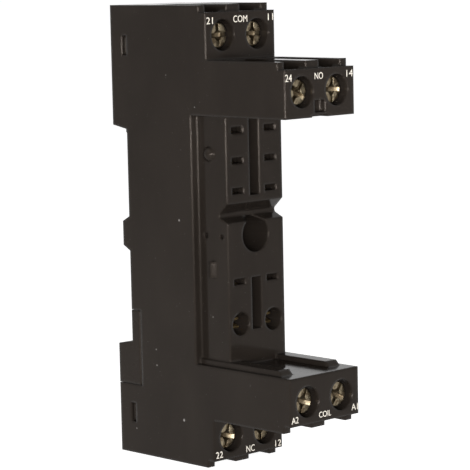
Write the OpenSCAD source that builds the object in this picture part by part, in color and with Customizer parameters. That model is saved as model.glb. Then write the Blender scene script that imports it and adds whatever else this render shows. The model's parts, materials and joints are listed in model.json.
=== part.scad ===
// Slim plug-in relay socket for a 35 mm rail, with eight screw terminals in stepped tiers.
//
// X runs across the width, Z up the long axis, and the front faces -Y.
// The origin is the centre of the rail seat. A "depth" is a distance forward from the rail seat,
// so depth d lies at Y = -d, and a "height" is a distance from the rail's centre line.
// All sizes are in millimetres.

/* [Body] */
// Overall width across the side faces
body_w = 15.8; // [15.2:0.1:18]
// Thickness of the side walls
wall = 1.5; // [1.2:0.1:1.8]
// Thickness of the end walls and of the wall behind the terminal columns
skin = 1.4; // [1:0.1:1.8]
// Set-back of the side walls between the towers, behind the outer tiers' face
column_setback = 4; // [3.6:0.1:4.4]
// Depth of the face that the relay sits on
socket_depth = 22.5; // [21:0.1:25]

/* [Rail seat] */
// Width of the rail that the seat takes
rail_h = 35; // [35:0.1:36]
// Thickness of the rail's flanges
rail_t = 1; // [0.8:0.1:1.2]
// Depth of the seat behind the rearmost plane
seat_recess = 3.5; // [3.3:0.1:4]
// Play above the rail
seat_play_top = 0.25; // [0.1:0.05:0.4]
// Play below the rail, taken up by the latch
seat_play_bottom = 1; // [0.6:0.1:1.4]
// Rise of the lead-in slopes at both ends of the seat
seat_lead = 0.65; // [0.4:0.05:1]
// Height of the pad that reaches into the rail's hollow
pad_h = 5.9; // [4:0.1:8]
// Reach of that pad
pad_reach = 1.65; // [1:0.05:2]

/* [Tiers and towers] */
// Height of the upper tower's relay side
upper_in = 20.65; // [20.4:0.05:23]
// Height of the lower tower's relay side, measured downwards
lower_in = 20.75; // [19.5:0.05:23]
// Height of the towers themselves
tower_h = 9; // [8.2:0.1:10]
// Height of the top tier above the upper tower
top_tier_h = 8.95; // [8:0.05:10]
// Height of the bottom tier below the lower tower
bottom_tier_h = 8.15; // [7.4:0.05:9]
// Depth of the outer tiers' faces
tier_depth = 19.8; // [19.2:0.1:21]
// Depth of the towers' faces
tower_depth = 37.7; // [36:0.1:40]
// Thickness of the face plates round the screws
plate = 3.2; // [2.8:0.1:3.4]
// Set-back of the walls behind the face plates at the wire side
ledge = 1.6; // [1.2:0.1:2]
// Height of those walls above the face plates
lip = 1.2; // [0.8:0.05:1.5]
// Width of the partition between two terminals
partition = 3; // [2.6:0.1:3.2]
// Thickness of the towers' relay-side wall
tower_floor = 1; // [0.8:0.1:1.1]
// Thickness of the wall between a tier and the tower below it
tier_floor = 1.4; // [1:0.1:1.6]
// Length of the outer tiers' wire slots behind their face
tier_slot = 13.3; // [11:0.1:13.8]
// Distance from an outer tier's face to the start of the tower's slots
tower_slot = 2.5; // [1.5:0.5:4]

/* [Terminals] */
// Distance of the towers' screws from their relay side
tower_screw = 4.15; // [3.9:0.05:4.4]
// Distance of the top tier's screws from the upper tower
top_screw = 3.95; // [3.4:0.05:4.2]
// Distance of the bottom tier's screws from the lower tower
bottom_screw = 3.25; // [3.2:0.05:3.5]
// Diameter of the screw recesses
recess_d = 5.1; // [4.8:0.1:5.6]
// Depth of the screw heads behind the face plates
head_sunk = 1.2; // [0.8:0.1:1.6]
// Diameter of the screw heads
head_d = 4.4; // [4:0.1:4.6]
// Thickness of the screw heads
head_t = 2; // [1.6:0.1:2.2]
// Diameter of the screw threads
thread_d = 3; // [2.5:0.1:3]
// Width of the straight slot and of the cross in the heads
drive_w = 0.75; // [0.6:0.05:1]
// Depth of the straight slot
slot_sunk = 0.6; // [0.5:0.1:0.9]
// Depth of the cross in its middle
cross_sunk = 1.3; // [1:0.1:1.4]
// Diameter over the arms of the cross
cross_d = 3.7; // [3.2:0.1:3.8]
// Size of the square pit where the arms meet
cross_pit = 1.7; // [1.4:0.1:1.9]
// Clearance between a clamp cage and the side walls of its room
cage_gap = 0.15; // [0.1:0.05:0.3]
// Clearance behind an open clamp cage
cage_room = 0.4; // [0.3:0.1:0.6]
// Height of the clamp cages
cage_h = 4.4; // [4:0.1:4.4]
// Length of the clamp cages
cage_len = 8.5; // [8.3:0.1:8.6]
// Side wall of the clamp cages
cage_side = 0.6; // [0.5:0.05:0.7]
// Threaded wall of the clamp cages
cage_nut = 1.2; // [1:0.1:1.4]
// Rear wall of the clamp cages
cage_rear = 1; // [0.8:0.1:1.2]
// Distance from a face plate to its clamp cage when the clamp is open
cage_open = 5.9; // [5.9:0.1:6]
// Radial running clearance between a screw and its cage
thread_play = 0.05; // [0.02:0.01:0.1]

/* [Contacts] */
// Thickness of the contact strips
strip_t = 0.7; // [0.5:0.05:0.8]
// Clearance between a contact strip and the side walls of its cage
strip_play = 0.25; // [0.15:0.05:0.4]
// Clearance between a tier's contact strip and the end wall
strip_end = 0.6; // [0.4:0.1:1]
// Reach of a tower's contact strip past its cage
strip_reach = 0.5; // [0.3:0.1:0.8]
// Clearance between a tower's contact strip and the wall it lies on
strip_seat = 0.1; // [0.05:0.05:0.2]
// Distance from a face plate to the middle of its contact strip
strip_sunk = 9.9; // [9.8:0.1:10]
// Distance from the tiers' strips to the towers' strips inside the core
layer_gap = 2.9; // [2.4:0.1:3.2]
// Sideways distance of the relay pins from the middle
pin_x = 3.75; // [3.75:0.05:3.8]
// Distance from the upper tower to the first row of relay pins
pin_in = 2.45; // [2.2:0.05:2.8]
// Spacing of the relay's contact pins
pin_pitch = 5; // [5:0.1:5.1]
// Distance from the last contact row to the coil pins
coil_gap = 15; // [14.8:0.1:15.2]
// Distance from the coil pins to the module's two holes
module_gap = 7.05; // [6.8:0.05:7.4]
// Diameter of the module's two holes
module_d = 3.8; // [3.4:0.1:4]
// Depth of the module's two holes behind the socket's face
module_deep = 4.5; // [3:0.5:6]
// Width of the pin holes
pin_w = 2.4; // [2.2:0.1:2.6]
// Height of the pin holes
pin_h = 0.9; // [0.8:0.1:1.2]
// Chamfer round the pin holes
pin_chamfer = 0.2; // [0.1:0.05:0.3]
// Thickness of the springy fork leaves
leaf_t = 0.35; // [0.3:0.05:0.4]
// Width of the fork leaves
leaf_w = 2.2; // [1.8:0.1:2.4]
// Thickness of the block's front wall over the forks
block_front = 1.5; // [1.2:0.1:2]
// Clearance round the contacts in their pockets
contact_play = 0.2; // [0.15:0.05:0.3]
// Height of the pockets for the forks
pocket_h = 3; // [2.8:0.1:3.4]

/* [Socket face] */
// Height of the fixing screw's hole
fix_h = 0.8; // [0.5:0.1:1]
// Diameter of the access hole for the fixing screw's head
fix_head_d = 6; // [5.6:0.1:6.2]
// Diameter of the fixing screw's hole
fix_d = 3.2; // [3:0.1:3.4]
// Wall round that access hole
fix_wall = 0.9; // [0.7:0.1:1.2]
// Length of the fixing boss under the screw's head
fix_boss = 3; // [2.6:0.1:3.2]
// Clearance between the fixing boss and the tiers' contact strips
fix_gap = 0.75; // [0.5:0.05:1]
// Width of the two long slots
slot_w = 2.2; // [2:0.1:2.4]
// Thickness of the floor under the two long slots
slot_floor = 4; // [2:0.1:5]
// Height at which the upper slot ends
upper_slot_end = 7.3; // [7:0.1:8]
// Height at which the lower slot starts, measured downwards
lower_slot_start = 6.3; // [6:0.1:7]
// Height at which the lower slot ends, measured downwards
lower_slot_end = 15; // [14:0.1:16]
// Upper edge of the clip groove
groove_top = 6.3; // [6.1:0.1:6.4]
// Lower edge of the clip groove
groove_bottom = 3; // [2.8:0.1:3.2]
// Depth of the clip groove
groove_deep = 1.95; // [1.5:0.05:2.1]
// Drop of the groove's bottom below the middle of its mouth
groove_drop = 0.4; // [0.2:0.1:0.5]
// Radius at the bottom of the clip groove
groove_r = 0.6; // [0.4:0.05:0.7]
// Width of the guide ridges on the lower tower
ridge_w = 2.6; // [2:0.1:3]
// Height of the guide ridges
ridge_t = 0.85; // [0.6:0.05:1]
// Distance of the guide ridges from the side faces
ridge_inset = 1.1; // [0.8:0.1:1.4]
// Distance of the ridges' ends from the lower tower's face
ridge_end = 3; // [2:0.1:4]

/* [Clip details] */
// Height of the round catches on the block's sides
catch_h = 14.3; // [13:0.1:15]
// Distance of the catches behind the socket's face
catch_back = 3.9; // [3.4:0.1:4.2]
// Diameter of the catches
catch_d = 2.4; // [2:0.1:3]
// Reach of the catches and wedges
catch_reach = 0.9; // [0.4:0.05:1]
// Height of the wedges' upper edge, measured downwards
wedge_top = 3.4; // [3:0.1:5]
// Length of the wedges
wedge_len = 2.7; // [2:0.1:3.5]
// Distance of the wedges behind the socket's face
wedge_back = 2.7; // [2:0.1:3]
// Width of the wedges
wedge_w = 1; // [0.8:0.1:1.6]
// Diameter of the small clip holes
clip_hole_d = 0.8; // [0.6:0.1:1]
// Distance of the front clip holes behind the socket's face
clip_hole_front = 1.5; // [1.2:0.1:2]
// Distance of the rear clip holes behind the socket's face
clip_hole_rear = 5.2; // [4.6:0.1:5.6]
// Width of the notch in the upper tower's face
notch_w = 3.6; // [3:0.1:4]
// Height of that notch
notch_h = 0.4; // [0.3:0.1:0.8]
// Width of the clip pocket above the notch
eye_w = 2.4; // [1.6:0.1:2.6]
// Distance from the tower's edge to the clip pocket
eye_low = 0.75; // [0.7:0.05:1.2]
// Height of the clip pocket
eye_h = 2; // [1.4:0.1:2.4]
// Depth of the clip pocket
eye_deep = 1.2; // [0.8:0.1:1.6]

/* [Rear cover and latch] */
// Wall of the rear cover
cover_t = 2; // [1.6:0.1:2.2]
// Width of the rear cover's ribs
rib_w = 1.2; // [0.8:0.1:1.6]
// Clearance between the ribs and what lies in front of them
rib_gap = 0.15; // [0.1:0.05:0.3]
// Clearance between the rear cover and the housing
cover_play = 0.1; // [0.05:0.05:0.15]
// Height of the snaps' windows
snap_h = 3.3; // [2.8:0.1:3.6]
// Distance of the upper windows from the top end
snap_top = 5.1; // [4.8:0.1:5.6]
// Distance of the lower windows from the bottom end
snap_bottom = 5.4; // [4.8:0.1:5.6]
// Width of the snaps' windows
snap_w = 1.2; // [1:0.1:1.6]
// Set-back of the windows' rear edge behind the rail seat
snap_rear = 0.8; // [0.6:0.1:1.2]
// Depth of the snaps' spring tongues
snap_tongue = 1.5; // [1.2:0.1:1.8]
// Clearance of the snaps in their windows
snap_play = 0.15; // [0.1:0.05:0.2]
// Set-back of the snaps' tips behind the side faces
snap_sunk = 0.4; // [0.3:0.1:0.6]
// Flat on the snaps' tips
snap_flat = 0.2; // [0.1:0.1:0.3]
// Reach of the fixed hook behind the rail
hook_reach = 2.2; // [1.8:0.1:2.6]
// Lead-in slope of the fixed hook
hook_lead = 1.4; // [1:0.1:1.8]
// Clearance behind the rail's flanges
hook_play = 0.2; // [0.1:0.05:0.3]
// Half width of the fixed hook
hook_half = 5; // [4:0.1:5.6]
// Depth of the front edge of the side cheeks
cheek_depth = 2.2; // [2:0.1:2.4]
// Height of the cheeks' upper edge, measured downwards
cheek_top = 13; // [12.5:0.1:14]
// Height of the cheeks' lower edge, measured downwards
cheek_bottom = 26; // [25:0.1:27]
// Bevel along the cheeks' front edge
cheek_bevel = 0.3; // [0.1:0.05:0.4]
// Half width of the latch's stem
latch_half = 3.4; // [3:0.1:3.8]
// Reach of the latch's side flanges
latch_flange = 1.2; // [0.8:0.1:1.4]
// Thickness of the latch's flanges
flange_t = 1.05; // [0.9:0.05:1.2]
// Thickness of the latch
latch_t = 2.5; // [2.4:0.05:2.6]
// Clearance round the latch
latch_play = 0.15; // [0.1:0.05:0.2]
// Travel of the latch
latch_travel = 2.5; // [2:0.1:2.8]
// Overlap of the latch behind the rail's flange
latch_grip = 1.4; // [1.2:0.1:1.6]
// Diameter of the latch spring
spring_d = 2; // [1.8:0.1:2.1]
// Wire of the latch spring
spring_wire = 0.36; // [0.3:0.02:0.4]
// Clearance beside the latch spring in its window
spring_room = 0.35; // [0.3:0.05:0.5]
// Length of the latch spring when the latch is shut
spring_len = 7; // [6:0.1:8]
// Turns of the latch spring
spring_turns = 7; // [5:1:8]
// Height of the spring's peg, measured downwards
peg_h = 30; // [29:0.1:31]
// Thickness of that peg
peg_t = 1.4; // [1:0.1:1.6]
// Set-back of the latch's end inside the bottom end
latch_inset = 0.4; // [0.2:0.1:0.8]
// Length of the latch below its screwdriver slot
pull_end = 1.2; // [1:0.1:1.6]
// Height of the screwdriver slot
pull_h = 1.2; // [1:0.1:1.6]
// Width of the screwdriver slot
pull_w = 4; // [3:0.2:5]
// Depth of the screwdriver slot
pull_deep = 1.4; // [1:0.1:1.8]

/* [Hidden] */
$fn = 48;
// Overshoot of cutting bodies
eps = 0.5;
side_x = body_w / 2;
inner_x = side_x - wall;
upper_out = upper_in + tower_h;
lower_out = lower_in + tower_h;
top_h = upper_out + top_tier_h;
bottom_h = lower_out + bottom_tier_h;
// Halves of the front: [direction, towers' relay side, towers' outer side, end]
UPPER = [1, upper_in, upper_out, top_h];
LOWER = [-1, lower_in, lower_out, bottom_h];
// Terminals: [name, side, half, face depth, screw height]
TERMINALS = [
  ["21", -1, UPPER, tier_depth, upper_out + top_screw],
  ["11", 1, UPPER, tier_depth, upper_out + top_screw],
  ["24", -1, UPPER, tower_depth, upper_in + tower_screw],
  ["14", 1, UPPER, tower_depth, upper_in + tower_screw],
  ["22", -1, LOWER, tier_depth, lower_out + bottom_screw],
  ["12", 1, LOWER, tier_depth, lower_out + bottom_screw],
  ["a2", -1, LOWER, tower_depth, lower_in + tower_screw],
  ["a1", 1, LOWER, tower_depth, lower_in + tower_screw]
];
// Rest angles of the screws, as left by the screwdriver
SCREW_TURN = [86, 91, 36, 2, 15, 4, 22, 33];

// Rooms, screws and cages
room_x = partition / 2;
screw_x = (room_x + inner_x) / 2;
cage_w = inner_x - room_x - 2 * cage_gap;
cage_rear_depth = tier_depth - cage_open - cage_len;
room_rear = cage_rear_depth - cage_room;
head_back = head_sunk + head_t;
tip_gap = 0.3;
shank_len = strip_sunk - strip_t / 2 - head_back - tip_gap;

// Contacts: the tiers' strips lie behind the towers' strips
column_depth = tier_depth - column_setback;
core_front = column_depth - skin;
strip_w = cage_w - 2 * (cage_side + strip_play);
rear_layer = tier_depth - strip_sunk;
front_layer = rear_layer + layer_gap;
strip_rise = tower_floor + strip_seat + strip_t / 2;
fork_front = socket_depth - block_front - contact_play;
fork_gap = 1.3;
pin_1 = upper_in - pin_in;
PIN_ROWS = [pin_1, pin_1 - pin_pitch, pin_1 - 2 * pin_pitch];
coil_row = PIN_ROWS[2] - coil_gap;
module_row = coil_row - module_gap;

// Fixing screw
fix_rear = rear_layer + strip_t / 2 + fix_gap;
fix_seat = fix_rear + fix_boss;
rib_front = rear_layer - strip_t / 2 - rib_gap;
fix_pillar = rib_front - 2 * rib_gap;

// Rear outline of the body from the top to the bottom, as [depth, height]
seat_top = rail_h / 2 + seat_play_top;
seat_bottom = rail_h / 2 + seat_play_bottom;
pad_slope = 0.9;
REAR = [
  [-seat_recess, top_h],
  [-seat_recess, seat_top + seat_lead],
  [0, seat_top],
  [0, pad_h / 2],
  [-pad_reach, pad_h / 2 - pad_slope],
  [-pad_reach, pad_slope - pad_h / 2],
  [0, -pad_h / 2],
  [0, -seat_bottom],
  [-seat_recess, -seat_bottom - seat_lead],
  [-seat_recess, -bottom_h]
];

// ---------- Profiles and helpers ----------

function unit(v) = v / norm(v);
function left_of(v) = [-v[1], v[0]];
// Offset direction of point i of path p, with a mitred corner
function mitre(p, i) =
  let (last = len(p) - 1)
  let (a = i == 0 ? p[1] - p[0] : p[i] - p[i - 1])
  let (b = i == last ? p[i] - p[i - 1] : p[i + 1] - p[i])
  let (m = left_of(unit(a)), n = left_of(unit(b)))
  (m + n) / (1 + m * n);

// Strip of thickness t that follows the path p; side -1, 0 or 1 puts it right of, on or left of the path
module ribbon(p, t, side = 0) {
  near = (side - 1) * t / 2;
  far = (side + 1) * t / 2;
  polygon(concat(
    [for (i = [0:len(p) - 1]) p[i] + mitre(p, i) * near],
    [for (i = [len(p) - 1:-1:0]) p[i] + mitre(p, i) * far]
  ));
}

// Extrudes a [depth, height] outline across the width, centred on x
module across(w, x = 0) {
  translate([x, 0, 0])
    rotate([90, 0, -90])
      linear_extrude(w, center = true)
        children();
}

// Extrudes an [x, depth] outline along the height, from z0 to z1
module upright(z0, z1) {
  translate([0, 0, z0])
    mirror([0, 1, 0])
      linear_extrude(z1 - z0)
        children();
}

// Box from [x, depth, height] corners
module block(a, b) {
  translate([min(a[0], b[0]), -max(a[1], b[1]), min(a[2], b[2])])
    cube([abs(b[0] - a[0]), abs(b[1] - a[1]), abs(b[2] - a[2])]);
}

// Cylinder along the depth, from depth d0 to depth d1
module bore(x, z, d0, d1, r) {
  translate([x, -d0, z])
    rotate([90, 0, 0])
      cylinder(h = d1 - d0, r = r);
}

module both_sides() {
  children();
  mirror([1, 0, 0]) children();
}

// ---------- Housing ----------

// Side outline of the front of half h, from the relay side outwards
function front_half(h) = [
  [column_depth, h[1]],
  [tower_depth, h[1]],
  [tower_depth, h[2] - lip],
  [tower_depth - ledge, h[2] - lip],
  [tower_depth - ledge, h[2]],
  [tier_depth, h[2]],
  [tier_depth, h[3] - lip],
  [tier_depth - ledge, h[3] - lip],
  [tier_depth - ledge, h[3]]
];
function flip(p) = [for (i = [len(p) - 1:-1:0]) [p[i][0], -p[i][1]]];

module side_outline() {
  polygon(concat(REAR, flip(front_half(LOWER)), front_half(UPPER)));
}

// Room for one terminal, open at its outer end in front of slot_rear
module chamber(face, floor_h, end_h, rear, slot_rear) {
  front = face - plate;
  block([room_x, rear, floor_h], [inner_x, front, end_h - skin]);
  block([room_x, slot_rear, floor_h], [inner_x, front, end_h + eps]);
  block([room_x, slot_rear, end_h - lip], [inner_x, face - ledge + eps, end_h + eps]);
}

// All that is hollowed out for the two terminals on one side of half h
module chambers(h) {
  floor_h = h[1] + tower_floor;
  roof = h[2] - tier_floor / 2;
  tower_rear = tier_depth + tower_slot;
  chamber(tier_depth, h[2] + tier_floor / 2, h[3], room_rear, tier_depth - tier_slot);
  chamber(tower_depth, floor_h, h[2], tower_rear, tower_rear);
  // The tower's room runs back under the tier and into the core
  block([room_x, core_front - eps, floor_h], [inner_x, tower_depth - plate, roof]);
  block([room_x, room_rear, h[1] - eps], [inner_x, core_front, roof]);
  // Way for the tier's contact strip into the core
  block([room_x, room_rear, roof - eps], [inner_x, rear_layer + layer_gap / 2, h[3] - skin]);
}

module all_chambers() {
  both_sides() {
    chambers(UPPER);
    mirror([0, 0, 1]) chambers(LOWER);
  }
}

module core() {
  block([-inner_x, -seat_recess - eps, skin - bottom_h], [inner_x, room_rear, top_h - skin]);
  block([-inner_x, 0, -lower_in], [inner_x, core_front, upper_in]);
}

// Pin hole with a chamfered mouth
module pin_hole(x, z) {
  mouth = socket_depth + eps;
  straight = socket_depth - pin_chamfer;
  half_h = pin_h / 2;
  half_w = pin_w / 2;
  grow = pin_chamfer + eps;
  block([x - half_w, core_front, z - half_h], [x + half_w, mouth, z + half_h]);
  intersection() {
    across(pin_w * 2, x)
      polygon([
        [straight, z - half_h], [straight, z + half_h],
        [mouth, z + half_h + grow], [mouth, z - half_h - grow]
      ]);
    upright(z - pin_h * 2, z + pin_h * 2)
      polygon([
        [x - half_w, straight], [x + half_w, straight],
        [x + half_w + grow, mouth], [x - half_w - grow, mouth]
      ]);
  }
}

// Pocket behind a pin hole for its fork
module fork_pocket(x, z) {
  half_w = leaf_w / 2 + contact_play;
  half_h = pocket_h / 2;
  block([x - half_w, core_front - eps, z - half_h], [x + half_w, socket_depth - block_front, z + half_h]);
}

module clip_groove() {
  mid = (groove_top + groove_bottom) / 2 - groove_drop;
  bottom = socket_depth - groove_deep + groove_r;
  across(body_w)
    union() {
      translate([bottom, mid]) circle(groove_r);
      polygon([
        [bottom - groove_r * 0.7, mid + groove_r * 0.7],
        [socket_depth, groove_top],
        [socket_depth + eps, groove_top],
        [socket_depth + eps, groove_bottom],
        [socket_depth, groove_bottom],
        [bottom - groove_r * 0.6, mid - groove_r * 0.8]
      ]);
    }
}

module long_slot(z0, z1) {
  block([-slot_w / 2, core_front + slot_floor, z0], [slot_w / 2, socket_depth + eps, z1]);
}

module socket_cuts() {
  for (x = [-pin_x, pin_x]) {
    for (z = concat(PIN_ROWS, [coil_row])) {
      pin_hole(x, z);
      fork_pocket(x, z);
    }
    bore(x, module_row, socket_depth - module_deep, socket_depth + eps, module_d / 2);
    fork_pocket(x, module_row);
  }
  long_slot(upper_slot_end, upper_in);
  long_slot(-lower_slot_end, -lower_slot_start);
  clip_groove();
  bore(0, fix_h, fix_seat, socket_depth + eps, fix_head_d / 2);
  bore(0, fix_h, fix_rear - eps, fix_seat + eps, fix_d / 2);
}

// Windows for the rear cover's snaps: [height from, height to] on each side wall
SNAPS = [
  [top_h - snap_top - snap_h, top_h - snap_top],
  [snap_bottom - bottom_h, snap_bottom - bottom_h + snap_h]
];

module side_windows() {
  both_sides() {
    for (s = SNAPS)
      block([inner_x - eps, -snap_rear, s[0]], [side_x + eps, snap_w - snap_rear, s[1]]);
    block([inner_x - eps, -seat_recess - eps, -cheek_bottom], [side_x + eps, cheek_depth, -cheek_top]);
  }
}

// Round catches and wedges on the block's sides that steer a retaining clip
module clip_catches() {
  catch_r = catch_d / 2;
  wedge_front = socket_depth - wedge_back;
  both_sides() {
    translate([inner_x, catch_back - socket_depth, catch_h])
      rotate([0, 90, 0])
        rotate_extrude()
          polygon(concat(
            [[0, -eps], [catch_r, -eps]],
            [for (a = [0:15:90]) [catch_r * cos(a), catch_reach * sin(a)]]
          ));
    upright(-wedge_top - wedge_len, -wedge_top)
      polygon([
        [inner_x - eps, wedge_front - wedge_w],
        [inner_x + catch_reach, wedge_front - wedge_w],
        [inner_x, wedge_front],
        [inner_x - eps, wedge_front]
      ]);
  }
}

module clip_holes() {
  both_sides()
    for (back = [clip_hole_front, clip_hole_rear])
      translate([inner_x - clip_hole_d, back - socket_depth, fix_h])
        rotate([0, 90, 0])
          cylinder(h = clip_hole_d + eps, d = clip_hole_d);
}

// Guide ridges on the lower tower's relay side
module ridges() {
  z0 = -lower_in;
  root = z0 - tower_floor / 2;
  tip = tower_depth - ridge_end;
  both_sides()
    across(ridge_w, side_x - ridge_inset - ridge_w / 2)
      polygon([
        [column_depth, root],
        [column_depth, z0 + ridge_t],
        [tip - ridge_t, z0 + ridge_t],
        [tip, z0],
        [tip, root]
      ]);
}

// Notch and clip pocket in the upper tower's face
module face_notch() {
  rear = tower_depth - ledge;
  front = tower_depth + eps;
  eye = upper_in + eye_low;
  block([-notch_w / 2, rear, upper_in - eps], [notch_w / 2, front, upper_in + notch_h]);
  block([-eye_w / 2, tower_depth - eye_deep, eye], [eye_w / 2, front, eye + eye_h]);
}

module housing() {
  color("#37302d")
    difference() {
      union() {
        difference() {
          across(body_w) side_outline();
          core();
          all_chambers();
          side_windows();
          latch_exit();
        }
        block([-inner_x, core_front, -lower_in - eps], [inner_x, socket_depth, upper_in + eps]);
        bore(0, fix_h, fix_rear, core_front + eps, fix_head_d / 2 + fix_wall);
        clip_catches();
        ridges();
      }
      socket_cuts();
      clip_holes();
      face_notch();
      for (t = TERMINALS)
        bore(t[1] * screw_x, t[2][0] * t[4], t[3] - plate - eps, t[3] + eps, recess_d / 2);
    }
}

// Way out of the bottom end for the latch
module latch_exit() {
  block(
    [-latch_half - latch_flange - latch_play, -seat_recess - eps, -bottom_h - eps],
    [latch_half + latch_flange + latch_play, latch_floor, -bottom_h + skin + eps]
  );
}

// ---------- Rear cover ----------

latch_front = -rail_t;
latch_floor = latch_front + latch_play;
latch_wide = latch_half + latch_flange;
cover_x = inner_x - cover_play;
cover_top = top_h - skin - cover_play;
cover_bottom = skin + cover_play - bottom_h;
COVER = concat([[-seat_recess, cover_top]], [for (i = [1:8]) REAR[i]], [[-seat_recess, cover_bottom]]);

module hook_outline() {
  rear = -seat_recess;
  front = -rail_t - hook_play;
  nose = seat_top - hook_reach;
  bevel = hook_lead / 2;
  polygon([
    [rear, seat_top + hook_lead],
    [front, seat_top + hook_lead],
    [front, nose + bevel],
    [front - bevel, nose],
    [rear, nose + hook_lead]
  ]);
}

module cheek_outline() {
  front = cheek_depth - cover_play;
  polygon([
    [0, -cheek_top - cover_play],
    [front, -cheek_top - cover_play],
    [front, cover_play - cheek_bottom],
    [-seat_recess, cover_play - cheek_bottom],
    [-seat_recess, -seat_bottom - seat_lead],
    [0, -seat_bottom]
  ]);
}

// Side cheek that closes the latch's guide, flush with the side face
module cheek() {
  w = wall + cover_play + skin;
  front = cheek_depth - cover_play;
  difference() {
    across(w, side_x - w / 2) cheek_outline();
    upright(-cheek_bottom - eps, eps - cheek_top)
      polygon([
        [side_x - cheek_bevel, front],
        [side_x + eps, front - cheek_bevel - eps],
        [side_x + eps, front + eps],
        [side_x - cheek_bevel, front + eps]
      ]);
  }
}

// T-shaped channel in which the latch slides
module latch_channel() {
  narrow = latch_half + latch_play;
  wide = latch_wide + latch_play;
  top = eps - seat_bottom;
  bottom = -bottom_h - eps;
  block([-narrow, -seat_recess - eps, bottom], [narrow, latch_floor, top]);
  block([-wide, latch_front - flange_t - latch_play, bottom], [wide, latch_floor, top - flange_t]);
}

// Rib from depth d0 to depth d1 that steadies the contact strips
module rib(d0, d1, z0, z1) {
  block([screw_x - rib_w / 2, d0, z0], [screw_x + rib_w / 2, d1, z1]);
}

module ribs() {
  root = cover_t / 2;
  rib(root, rib_front, skin - lower_out, upper_out - skin);
  rib(root, room_rear - rib_gap, cover_bottom, cover_top);
  rib(-seat_recess + root, cover_t, seat_top + cover_t, cover_top);
}

// Tongue with a wedge that snaps into a window between heights z0 and z1
module snap(z0, z1) {
  root = cover_x - snap_tongue;
  rear = snap_play - snap_rear;
  front = snap_w - snap_rear - snap_play;
  tip = side_x - snap_sunk;
  ramp = front - rear - snap_flat;
  upright(z0 + snap_play, z1 - snap_play)
    polygon([
      [root, rear - snap_w],
      [cover_x, rear],
      [tip, rear],
      [tip, rear + snap_flat],
      [tip - ramp, front],
      [cover_x, front],
      [root, front]
    ]);
}

module rear_cover() {
  color("#302b29")
    difference() {
      union() {
        across(cover_x * 2) ribbon(COVER, cover_t, 1);
        // Solid lower part that guides the latch
        block([-cover_x, -seat_recess, cover_bottom], [cover_x, cover_t, -seat_bottom - seat_lead]);
        across(hook_half * 2) hook_outline();
        both_sides() {
          cheek();
          ribs();
          for (s = SNAPS)
            snap(s[0], s[1]);
        }
        bore(0, fix_h, 0, fix_pillar, fix_d / 2 + fix_wall);
      }
      latch_channel();
      bore(0, fix_h, -pad_reach - eps, fix_pillar + eps, fix_d / 2);
    }
  color("#302b29") spring_peg();
}

// Peg that holds the spring's lower end in the latch's window
module spring_peg() {
  half_w = window_half - latch_play;
  block([-half_w, latch_rear, -peg_h - peg_t], [half_w, latch_floor + 0.1, -peg_h]);
}

// ---------- Latch and spring ----------

window_half = spring_d / 2 + spring_room;
latch_rear = latch_front - latch_t;
latch_end = latch_inset - bottom_h;
nose_top = latch_grip - rail_h / 2;

module rail_latch() {
  shoulder = -seat_bottom - seat_lead - latch_play;
  nose_front = -rail_t - hook_play;
  bevel = hook_play * 2;
  pull = latch_end + pull_end;
  color("#2b2725")
    difference() {
      union() {
        across(latch_half * 2)
          polygon([
            [latch_front, latch_end],
            [latch_front, shoulder],
            [nose_front, shoulder + hook_play],
            [nose_front, nose_top],
            [nose_front - bevel, nose_top],
            [latch_rear, nose_top - latch_grip - bevel],
            [latch_rear, latch_end]
          ]);
        block([-latch_wide, latch_front - flange_t, latch_end], [latch_wide, latch_front, shoulder - bevel]);
      }
      // Window for the spring and its peg
      block(
        [-window_half, latch_rear - eps, -peg_h - peg_t - latch_play],
        [window_half, latch_front + eps, spring_len - peg_h]
      );
      // Screwdriver slot near the lower end
      block([-pull_w / 2, latch_rear - eps, pull], [pull_w / 2, latch_rear + pull_deep, pull + pull_h]);
    }
}

// Closed ring of points round the helix at angle a
function coil_ring(a, r, rise, wire, n) = [
  for (k = [0:n - 1])
    let (w = k * 360 / n, q = r + wire / 2 * cos(w))
    [q * cos(a), q * sin(a), rise * a / 360 + wire / 2 * sin(w)]
];

module latch_spring() {
  sides = 8;
  steps = 14;
  rings = steps * spring_turns;
  rise = (spring_len - spring_wire * 1.2) / spring_turns;
  r = (spring_d - spring_wire) / 2;
  points = [
    for (i = [0:rings])
      each coil_ring(i * 360 / steps, r, rise, spring_wire, sides)
  ];
  tube = [
    for (i = [0:rings - 1], k = [0:sides - 1])
      let (a = i * sides + k, b = i * sides + (k + 1) % sides)
      each [[a, b, b + sides], [a, b + sides, a + sides]]
  ];
  ends = [
    [for (k = [sides - 1:-1:0]) k],
    [for (k = [0:sides - 1]) rings * sides + k]
  ];
  color("#b9b6b0")
    translate([0, -(latch_front - latch_t / 2), -peg_h + spring_wire * 0.6])
      polyhedron(points, concat(tube, ends), convexity = 8);
}

// ---------- Terminals ----------

function terminal(name) = [for (t = TERMINALS) if (t[0] == name) t][0];
function turn_of(name) = [for (i = [0:7]) if (TERMINALS[i][0] == name) SCREW_TURN[i]][0];

// Puts a piece modelled round the screw's axis, with depth 0 at the face plate, in its terminal
module at_terminal(name) {
  t = terminal(name);
  translate([t[1] * screw_x, -t[3], t[2][0] * t[4]]) children();
}

// Groove along x whose floor rises from the middle to its ends
module wing(reach, w) {
  floor_x = drive_w / 3;
  rotate([90, 0, 0])
    linear_extrude(w, center = true)
      polygon([
        [-reach, eps], [-reach, 0], [-floor_x, -cross_sunk],
        [floor_x, -cross_sunk], [reach, 0], [reach, eps]
      ]);
}

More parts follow.
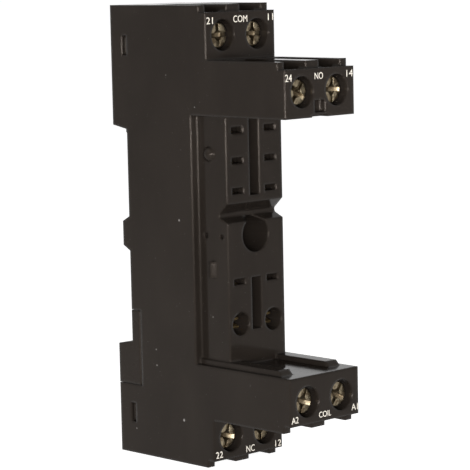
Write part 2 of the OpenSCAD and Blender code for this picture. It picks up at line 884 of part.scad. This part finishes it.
// Cross with a straight slot right across it, cut from the face of a head at height 0
module drive() {
  pit = cross_pit / 2;
  translate([-drive_w / 2, -head_d / 2 - eps, -slot_sunk])
    cube([drive_w, head_d + 2 * eps, slot_sunk + eps]);
  for (a = [0, 90])
    rotate([0, 0, a]) wing(cross_d / 2, drive_w);
  rotate([0, 0, 45])
    intersection() {
      wing(pit, cross_pit);
      rotate([0, 0, 90]) wing(pit, cross_pit);
    }
}

module terminal_screw(name) {
  r = head_d / 2;
  t = thread_d / 2;
  rim = 0.25;
  end = head_back + shank_len;
  color("#b8b0a4")
    at_terminal(name)
      rotate([90, turn_of(name), 0])
        difference() {
          rotate_extrude()
            polygon([
              [0, -end], [t - 0.4, -end], [t, -end + 0.4], [t, -head_back],
              [r, -head_back], [r, -head_sunk - rim], [r - rim, -head_sunk], [0, -head_sunk]
            ]);
          translate([0, 0, -head_sunk]) drive();
        }
}

module cage_outline() {
  r = 0.5;
  a = cage_w / 2;
  rear = -cage_open - cage_len;
  difference() {
    union() {
      translate([-a, rear + r]) square([cage_w, cage_len - 2 * r]);
      translate([r - a, rear]) square([cage_w - 2 * r, cage_len]);
      for (x = [r - a, a - r], d = [rear + r, -cage_open - r])
        translate([x, d]) circle(r);
    }
    translate([cage_side - a, rear + cage_rear])
      square([cage_w - 2 * cage_side, cage_len - cage_rear - cage_nut]);
  }
}

module cage(name) {
  color("#c9c4b8")
    at_terminal(name)
      difference() {
        upright(-cage_h / 2, cage_h / 2) cage_outline();
        bore(0, 0, -cage_open - cage_nut - eps, -cage_open + eps, thread_d / 2 + thread_play);
      }
}

// ---------- Contacts ----------

// Two springy leaves that grip a relay pin at height z, rooted on a strip in the layer at depth d
module fork(x, z, d) {
  root = d + strip_t / 2;
  length = fork_front - root;
  outer = fork_gap - leaf_t;
  for (s = [-1, 1])
    across(leaf_w, x)
      ribbon([
        [root - leaf_t, z + s * outer],
        [root + length * 0.35, z + s * outer],
        [root + length * 0.8, z + s * (0.1 + leaf_t / 2)],
        [fork_front - leaf_t / 3, z + s * outer * 0.8]
      ], leaf_t);
}

module strip(x, path) {
  across(strip_w, x) ribbon(path, strip_t);
}

// Strip that runs straight from an outer tier's clamp to the fork at height z
module tier_contact(name, z) {
  t = terminal(name);
  dir = t[2][0];
  outer = dir * (t[2][3] - skin - strip_end);
  color("#c79a5b") {
    strip(t[1] * screw_x, [[rear_layer, outer], [rear_layer, z - dir * fork_gap]]);
    fork(t[1] * pin_x, z, rear_layer);
  }
}

// Strip that is bent from a tower's clamp, back along the tower's wall, to the forks at heights zs
module tower_contact(name, zs) {
  t = terminal(name);
  dir = t[2][0];
  depth = t[3] - strip_sunk;
  outer = dir * (t[4] + cage_h / 2 + strip_reach);
  run = dir * (t[2][1] + strip_rise);
  last = zs[len(zs) - 1] - dir * fork_gap;
  color("#c79a5b") {
    strip(t[1] * screw_x, [[depth, outer], [depth, run], [front_layer, run], [front_layer, last]]);
    for (z = zs)
      fork(t[1] * pin_x, z, front_layer);
  }
}

housing();
rear_cover();
rail_latch();
latch_spring();
terminal_screw("21");  // screw_21
terminal_screw("11");  // screw_11
terminal_screw("24");  // screw_24
terminal_screw("14");  // screw_14
terminal_screw("22");  // screw_22
terminal_screw("12");  // screw_12
terminal_screw("a2");  // screw_a2
terminal_screw("a1");  // screw_a1
cage("21");  // cage_21
cage("11");  // cage_11
cage("24");  // cage_24
cage("14");  // cage_14
cage("22");  // cage_22
cage("12");  // cage_12
cage("a2");  // cage_a2
cage("a1");  // cage_a1
tier_contact("21", PIN_ROWS[1]);  // contact_21
tier_contact("11", PIN_ROWS[1]);  // contact_11
tower_contact("24", [PIN_ROWS[0]]);  // contact_24
tower_contact("14", [PIN_ROWS[0]]);  // contact_14
tier_contact("22", PIN_ROWS[2]);  // contact_22
tier_contact("12", PIN_ROWS[2]);  // contact_12
tower_contact("a2", [module_row, coil_row]);  // contact_a2
tower_contact("a1", [module_row, coil_row]);  // contact_a1
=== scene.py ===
"""Relay socket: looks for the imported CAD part. Metres, in the CAD's frame."""
import json
import math

import bpy
from mathutils import Matrix, Vector


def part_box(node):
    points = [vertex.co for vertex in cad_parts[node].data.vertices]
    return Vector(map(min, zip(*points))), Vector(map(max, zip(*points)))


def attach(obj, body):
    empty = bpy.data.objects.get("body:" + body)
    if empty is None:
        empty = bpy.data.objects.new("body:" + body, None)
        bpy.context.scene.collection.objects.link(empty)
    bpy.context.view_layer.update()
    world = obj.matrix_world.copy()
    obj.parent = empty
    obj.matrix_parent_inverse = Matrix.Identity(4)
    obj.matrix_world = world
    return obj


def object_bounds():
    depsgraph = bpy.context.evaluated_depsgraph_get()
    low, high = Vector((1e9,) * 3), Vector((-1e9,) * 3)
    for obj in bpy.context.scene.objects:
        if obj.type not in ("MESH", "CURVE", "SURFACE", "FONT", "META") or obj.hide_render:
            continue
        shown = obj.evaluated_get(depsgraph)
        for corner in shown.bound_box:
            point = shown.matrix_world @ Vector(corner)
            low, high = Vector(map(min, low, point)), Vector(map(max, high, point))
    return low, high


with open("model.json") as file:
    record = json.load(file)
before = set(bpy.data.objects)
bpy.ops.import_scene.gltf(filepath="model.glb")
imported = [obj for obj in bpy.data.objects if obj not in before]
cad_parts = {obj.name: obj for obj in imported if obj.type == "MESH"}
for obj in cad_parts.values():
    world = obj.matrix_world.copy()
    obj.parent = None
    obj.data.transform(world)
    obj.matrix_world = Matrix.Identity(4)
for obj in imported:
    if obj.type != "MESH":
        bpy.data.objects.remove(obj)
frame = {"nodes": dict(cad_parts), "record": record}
cad_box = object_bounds()
nodes = frame["nodes"]
MM = 0.001
lo, hi = cad_box

MOULD_RADIUS = 0.0007     # rounding that the shading gives the moulded edges
METAL_RADIUS = 0.00012    # the same for plated metal
FLOOR_DROP = 0.0002       # gap between the object and the floor
FLOOR_HALF = 30           # half the floor's width, wide enough to reach the horizon
WORLD = 0.18              # strength of the world as a light; background rays see 1
FLOOR_GLOW = 0.86         # what the floor adds of its own, so that it shows white
OUTER, TOWER = 19.8, 37.7  # depth of the tiers' and the towers' faces, in millimetres


# ---------- camera ----------

def make_camera():
    """The photograph's camera: viewing angle, distance and roll were fitted to the object's edges."""
    az, el, roll = math.radians(43.884), math.radians(6.978), math.radians(-1.227)
    ahead = Vector((math.sin(az) * math.cos(el), math.cos(az) * math.cos(el), -math.sin(el)))
    side = Vector((math.cos(az), -math.sin(az), 0))
    up = side.cross(ahead)
    right = side * math.cos(roll) + up * math.sin(roll)
    top = up * math.cos(roll) - side * math.sin(roll)
    data = bpy.data.cameras.new("camera")
    data.sensor_width = 36
    data.lens = 173.915
    data.clip_start, data.clip_end = 0.01, 10
    camera = bpy.data.objects.new("camera", data)
    bpy.context.scene.collection.objects.link(camera)
    turn = Matrix((right, top, -ahead)).transposed().to_4x4()
    camera.matrix_world = Matrix.Translation((-0.26038, -0.28830, 0.046205)) @ turn
    bpy.context.scene.camera = camera


# ---------- node helpers ----------

class Nodes:
    """Short notation for building a node material."""

    def __init__(self, name):
        self.material = bpy.data.materials.new(name)
        self.material.use_nodes = True
        self.tree = self.material.node_tree
        self.shader = self.tree.nodes["Principled BSDF"]
        self.place = self.add("ShaderNodeTexCoord").outputs["Object"]

    def add(self, kind, inputs=None, **settings):
        node = self.tree.nodes.new(kind)
        for key, value in settings.items():
            setattr(node, key, value)
        for key, value in (inputs or {}).items():
            self.put(node.inputs[key], value)
        return node

    def put(self, socket, value):
        if isinstance(value, bpy.types.NodeSocket):
            self.tree.links.new(value, socket)
        else:
            socket.default_value = value

    def noise(self, scale, detail=2, rough=0.5, place=None, distortion=0.0):
        """Noise with features of about 1 / scale metres."""
        node = self.add("ShaderNodeTexNoise", {
            "Vector": place or self.place, "Scale": scale, "Detail": detail,
            "Roughness": rough, "Distortion": distortion})
        return node.outputs["Fac"]

    def span(self, value, from_min, from_max, to_min, to_max):
        node = self.add("ShaderNodeMapRange", {
            "Value": value, "From Min": from_min, "From Max": from_max, "To Min": to_min, "To Max": to_max})
        return node.outputs["Result"]

    def math(self, operation, *values):
        node = self.add("ShaderNodeMath", operation=operation)
        for socket, value in zip(node.inputs, values):
            self.put(socket, value)
        return node.outputs["Value"]

    def mix(self, factor, a, b):
        node = self.add("ShaderNodeMix", data_type="RGBA")
        self.put(node.inputs["Factor"], factor)
        self.put(node.inputs[6], a)
        self.put(node.inputs[7], b)
        return node.outputs[2]

    def stretched(self, x, y, z):
        return self.add("ShaderNodeVectorMath", {0: self.place, 1: (x, y, z)}, operation="MULTIPLY").outputs[0]

    def bump(self, height, strength, distance, normal=None):
        inputs = {"Height": height, "Strength": strength, "Distance": distance}
        if normal is not None:
            inputs["Normal"] = normal
        return self.add("ShaderNodeBump", inputs).outputs["Normal"]

    def rounded(self, radius):
        """Normal that rounds every edge by a small moulding radius."""
        return self.add("ShaderNodeBevel", {"Radius": radius}, samples=6).outputs["Normal"]

    def finish(self, **sockets):
        names = {"color": "Base Color", "metal": "Metallic", "rough": "Roughness", "normal": "Normal",
                 "specular": "Specular IOR Level", "specular_tint": "Specular Tint"}
        for key, value in sockets.items():
            self.put(self.shader.inputs[names[key]], value)
        return self.material


def moulded_plastic(name, dark, light, rough, specks=()):
    """Black moulded thermoplastic: fine matt grain, faint flow mottling and a few dust specks."""
    n = Nodes(name)
    flow = n.noise(70, 3, 0.55, n.stretched(1, 1, 0.45), 0.6)
    color = n.mix(n.span(flow, 0.35, 0.68, 0, 1), (*dark, 1), (*light, 1))
    dust = n.noise(2600, 2, 0.6)
    color = n.mix(n.span(dust, 0.71, 0.80, 0, 0.35), color, (0.16, 0.15, 0.14, 1))
    for place, size in specks:
        away = n.add("ShaderNodeVectorMath", {0: n.place, 1: place}, operation="DISTANCE").outputs["Value"]
        color = n.mix(n.span(away, size, size * 0.55, 0, 0.8), color, (0.2, 0.19, 0.18, 1))
    rub = n.noise(260, 4, 0.6)
    grain = n.noise(9000, 2, 0.5)
    normal = n.bump(grain, 0.12, 0.00001, n.rounded(MOULD_RADIUS))
    normal = n.bump(n.noise(420, 2, 0.5), 0.06, 0.00004, normal)
    return n.finish(color=color, rough=n.span(rub, 0.3, 0.7, rough - 0.02, rough + 0.05), normal=normal,
                    specular=0.09, specular_tint=(1, 0.87, 0.77, 1))


def turned_metal(name, base, tint, rough, grain=(1, 1, 1), faces=()):
    """Plated metal: uneven tint, fine tool marks, small scuffs, and painted shade that darkens the screws behind
    their head faces.
    """
    n = Nodes(name)
    recess_rough = 0.0
    patch = n.noise(900, 3, 0.6, distortion=0.8)
    color = n.mix(n.span(patch, 0.4, 0.62, 0, 1), (*base, 1), (*tint, 1))
    if faces:
        y = n.add("ShaderNodeSeparateXYZ", {0: n.place}).outputs["Y"]
        front, back = faces
        face = n.span(n.math("GREATER_THAN", y, (front + back) / 2), 0, 1, front, back)
        # painted shade: each screw turns darker with depth behind its head's front face, fully dark from 0.9 mm
        # back, so the drive recesses and the head's sides look shaded; roughness rises there too
        recess_shade = n.span(n.math("SUBTRACT", y, face), 0.0001, 0.0009, 0, 0.85)
        recess_rough = n.math("MULTIPLY", recess_shade, 0.45)
        color = n.mix(recess_shade, color, (tint[0] * 0.3, tint[1] * 0.28, tint[2] * 0.25, 1))
    marks = n.noise(6000, 3, 0.6, n.stretched(*grain))
    scuff = n.noise(2200, 3, 0.6)
    normal = n.bump(marks, 0.5, 0.00004, n.rounded(METAL_RADIUS))
    normal = n.bump(n.noise(1400, 2, 0.5), 0.5, 0.00012, normal)
    rough = n.math("ADD", n.span(scuff, 0.3, 0.7, rough - 0.06, rough + 0.12), recess_rough)
    return n.finish(color=color, metal=1.0, rough=rough, normal=normal)


# ---------- lettering ----------

def label(text, x0, x1, z0, z1, depth, color):
    """Flat printed lettering on a face plate, fitted to a box from x0 to x1 and z0 to z1, in millimetres."""
    curve = bpy.data.curves.new("print_" + text, "FONT")
    curve.body = text
    curve.extrude = 0.000008
    curve.size = 0.002
    thing = bpy.data.objects.new("print_" + text, curve)
    bpy.context.scene.collection.objects.link(thing)
    bpy.context.view_layer.update()
    mesh = bpy.data.meshes.new_from_object(thing.evaluated_get(bpy.context.evaluated_depsgraph_get()))
    bpy.data.objects.remove(thing)
    xs = [v.co.x for v in mesh.vertices]
    ys = [v.co.y for v in mesh.vertices]
    left, right, low, high = min(xs), max(xs), min(ys), max(ys)
    for v in mesh.vertices:
        x = x0 + (v.co.x - left) / (right - left) * (x1 - x0)
        z = z0 + (v.co.y - low) / (high - low) * (z1 - z0)
        v.co = Vector((x * MM, -depth * MM - 0.000004 - v.co.z, z * MM))
    mesh.flip_normals()
    piece = bpy.data.objects.new("print_" + text, mesh)
    bpy.context.scene.collection.objects.link(piece)
    piece.data.materials.clear()
    piece.data.materials.append(color)
    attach(piece, "socket")


# ---------- scene ----------

make_camera()

# place and size of the larger dust specks and the gate mark, on the left side
SPECKS = [((-0.0079, -0.0060, -0.0193), 0.00016), ((-0.0079, -0.0061, -0.0220), 0.00016),
          ((-0.0079, -0.0005, -0.0336), 0.00014), ((-0.0079, -0.0125, 0.0031), 0.00022),
          ((-0.0079, -0.0101, 0.0271), 0.00012), ((-0.0079, -0.0169, 0.0220), 0.00012),
          ((-0.0064, -0.0186, -0.0127), 0.00012), ((-0.0079, -0.01255, -0.0306), 0.0003)]
BLACK = (0.0107, 0.0084, 0.0068), (0.0145, 0.0115, 0.0094)
finishes = {
    "housing_plastic": moulded_plastic("housing_plastic", *BLACK, 0.12, SPECKS),
    "cover_plastic": moulded_plastic("cover_plastic", *BLACK, 0.26),
    "latch_plastic": moulded_plastic("latch_plastic", (0.0120, 0.0098, 0.0083), (0.0155, 0.0128, 0.0110), 0.1),
    "spring_steel": turned_metal("spring_steel", (0.55, 0.54, 0.52), (0.42, 0.41, 0.40), 0.28),
    "screw_nickel": turned_metal("screw_nickel", (0.24, 0.20, 0.135), (0.09, 0.066, 0.040), 0.26,
                                 faces=(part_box("screw_24")[0].y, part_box("screw_21")[0].y)),
    "cage_steel": turned_metal("cage_steel", (0.60, 0.59, 0.56), (0.45, 0.43, 0.40), 0.32, (1, 0.2, 1)),
    "contact_brass": turned_metal("contact_brass", (0.40, 0.29, 0.14), (0.28, 0.20, 0.10), 0.34, (1, 1, 0.15)),
}
slots = {part["node"]: part["material_slot"] for part in frame["record"]["subparts"]}
for name, thing in nodes.items():
    thing.data.materials.clear()
    thing.data.materials.append(finishes[slots[name]])

ink = Nodes("print_white")
ink.finish(color=ink.mix(ink.span(ink.noise(5000, 3), 0.3, 0.6, 0, 1), (0.55, 0.51, 0.44, 1), (0.72, 0.67, 0.59, 1)),
           rough=ink.span(ink.noise(3000, 2), 0.3, 0.7, 0.55, 0.75))
white = ink.material
# text, left, right, bottom, top in millimetres, and the face it is printed on
for text, *box, face in [
    ("21", -7.55, -6.1, 35.5, 36.6, OUTER),
    ("COM", -1.48, 1.7, 35.6, 36.7, OUTER),
    ("11", 6.5, 7.7, 35.7, 36.8, OUTER),
    ("22", -7.55, -6.0, -36.25, -35.15, OUTER),
    ("NC", -0.55, 1.4, -36.3, -35.2, OUTER),
    ("12", 6.3, 7.7, -36.45, -35.35, OUTER),
    ("24", -7.75, -6.25, 26.6, 27.75, TOWER),
    ("NO", -1.1, 0.8, 26.7, 27.75, TOWER),
    ("14", 6.25, 7.75, 26.75, 27.85, TOWER),
    ("A2", -7.7, -6.15, -28.0, -26.95, TOWER),
    ("COIL", -1.4, 1.4, -27.9, -26.95, TOWER),
    ("A1", 6.25, 7.75, -27.85, -26.8, TOWER),
]:
    label(text, *box, face, white)


def soft_light(name, turn, rise, far, size, power, color=(1, 1, 1)):
    """Area lamp facing the object, turn degrees left of its front, rise degrees up and far metres off."""
    aim = (lo + hi) / 2
    a, e = math.radians(turn), math.radians(rise)
    place = aim + far * Vector((-math.sin(a) * math.cos(e), -math.cos(a) * math.cos(e), math.sin(e)))
    data = bpy.data.lights.new(name, "AREA")
    data.shape = "RECTANGLE"
    data.size, data.size_y = size
    data.energy = power
    data.color = color
    lamp = bpy.data.objects.new(name, data)
    bpy.context.scene.collection.objects.link(lamp)
    lamp.location = place
    lamp.rotation_mode = "QUATERNION"
    lamp.rotation_quaternion = (aim - place).to_track_quat("-Z", "Y")


def seen_as_white(n):
    """1 for rays that show the background itself: from the camera, or by gloss or glass."""
    path = n.add("ShaderNodeLightPath").outputs
    seen = n.math("MAXIMUM", path["Is Camera Ray"], path["Is Glossy Ray"])
    return n.math("MAXIMUM", seen, path["Is Transmission Ray"])


def make_world():
    world = bpy.data.worlds.new("world")
    bpy.context.scene.world = world
    world.use_nodes = True
    n = Nodes.__new__(Nodes)
    n.tree = world.node_tree
    back = n.tree.nodes["Background"]
    back.inputs["Color"].default_value = (1, 1, 1, 1)
    n.put(back.inputs["Strength"], n.span(seen_as_white(n), 0, 1, WORLD, 1))


def make_floor():
    """White sweep under the object, with the object's shadow kept."""
    mesh = bpy.data.meshes.new("floor")
    z, w = lo.z - FLOOR_DROP, FLOOR_HALF
    mesh.from_pydata([(-w, -w, z), (w, -w, z), (w, w, z), (-w, w, z)], [], [(0, 1, 2, 3)])
    floor = bpy.data.objects.new("floor", mesh)
    bpy.context.scene.collection.objects.link(floor)
    n = Nodes("floor")
    n.put(n.shader.inputs["Emission Color"], (1, 1, 1, 1))
    n.put(n.shader.inputs["Emission Strength"], n.math("MULTIPLY", seen_as_white(n), FLOOR_GLOW))
    n.finish(color=n.mix(n.noise(40, 2), (0.90, 0.90, 0.90, 1), (0.93, 0.93, 0.93, 1)), rough=0.9, specular=0.0)
    mesh.materials.append(n.material)


# wide and near lamps by the camera light the holes and the upright edges; the others lift the tops
soft_light("front", 44, 2, 0.4, (0.4, 0.1), 1.7)
soft_light("near", 44, 1, 0.4, (0.07, 0.06), 1.2)
soft_light("high", 10, 43, 0.8, (0.12, 0.12), 0.8)
soft_light("left", 100, 38, 0.25, (0.15, 0.15), 0.12, (1, 0.97, 0.93))
make_world()
make_floor()

bpy.context.scene.view_settings.view_transform = "Standard"
